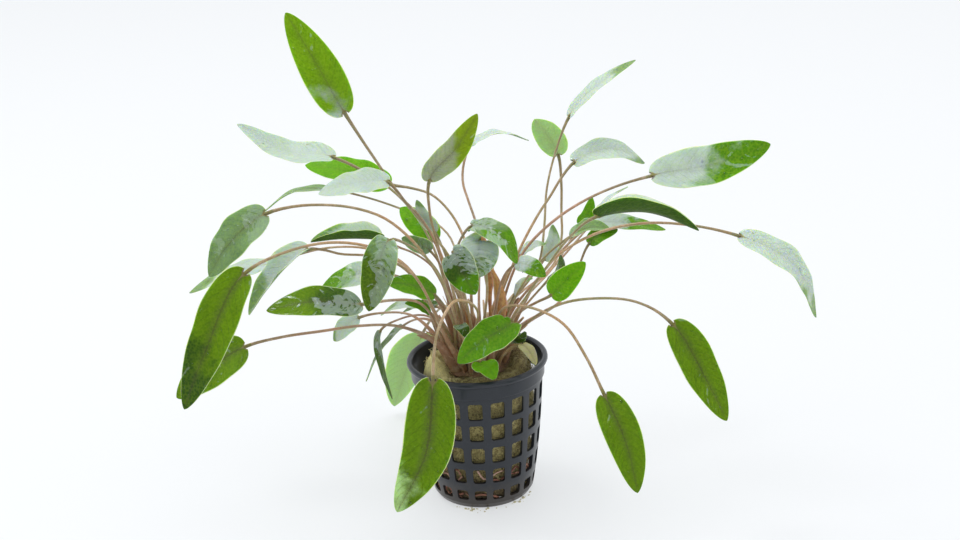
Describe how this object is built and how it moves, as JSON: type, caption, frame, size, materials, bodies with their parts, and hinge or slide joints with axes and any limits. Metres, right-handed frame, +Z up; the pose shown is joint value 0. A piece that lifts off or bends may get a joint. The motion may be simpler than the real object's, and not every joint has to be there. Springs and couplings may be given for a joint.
{
  "type": "potted aquarium plant",
  "caption": "Rosette of long-stalked lance-shaped green leaves growing from a crown in mineral wool, standing in a small round plastic net pot.",
  "frame": {"origin": "centre of the pot's flat underside", "axes": "+Z up through the pot's axis, -Y towards the viewer of the picture, +X to the viewer's right"},
  "size_m": [0.2262, 0.1334, 0.181],
  "materials": {
    "net_pot": "dark blue-grey moulded plastic, satin",
    "mineral_wool": "matted yellow-tan mineral wool",
    "crown": "pinkish brown plant tissue",
    "leaf": "wet glossy green leaf on a pinkish brown stalk"
  },
  "bodies": {
    "root": {"pot": "net_pot", "rock_wool": "mineral_wool", "crown": "crown", "leaf_tall_left": "leaf", "leaf_upright_centre": "leaf", "leaf_arched_centre": "leaf", "leaf_pale_right_top": "leaf", "leaf_small_folded_left": "leaf", "leaf_folded_striped_right": "leaf", "leaf_thin_spear_left": "leaf", "leaf_vivid_centre": "leaf", "leaf_large_pale_right": "leaf", "leaf_pale_mid_left": "leaf", "leaf_right_front_hang": "leaf", "leaf_thin_pale_centre": "leaf", "leaf_folded_top_left": "leaf", "leaf_dark_arch_right": "leaf", "leaf_edge_on_left": "leaf", "leaf_centre_glossy": "leaf", "leaf_bluish_small": "leaf", "leaf_arch_left": "leaf", "leaf_centre_right_small": "leaf", "leaf_lime_behind_left": "leaf", "leaf_big_left_front": "leaf", "leaf_under_arch_right": "leaf", "leaf_pale_upper_left": "leaf", "leaf_heart_centre": "leaf", "leaf_pale_back_right": "leaf", "leaf_white_green_left": "leaf", "leaf_drooping_far_right": "leaf", "leaf_dark_grey_left": "leaf", "leaf_small_green_centre": "leaf", "leaf_spear_right": "leaf", "leaf_folded_far_left": "leaf", "leaf_lime_right": "leaf", "leaf_back_edge_on": "leaf", "leaf_small_olive_left": "leaf", "leaf_dark_grey_right": "leaf", "leaf_beside_pot_left": "leaf", "leaf_cupped_front": "leaf", "leaf_blurred_behind_right": "leaf", "leaf_striped_left": "leaf", "leaf_dark_round_right": "leaf", "leaf_lime_behind_stalks": "leaf", "leaf_dark_hanging_centre": "leaf", "leaf_red_stalk_right": "leaf", "leaf_pale_edge_left": "leaf", "leaf_centre_front_bright": "leaf", "leaf_back_green": "leaf", "leaf_far_left_low": "leaf", "leaf_right_mid_hang": "leaf", "leaf_thin_left": "leaf", "leaf_front_hanging": "leaf", "leaf_small_upright_right": "leaf", "leaf_small_pale_left": "leaf", "leaf_withered_front_right": "leaf", "leaf_back_low_left": "leaf", "leaf_streaky_left": "leaf"}
  },
  "joints": []
}
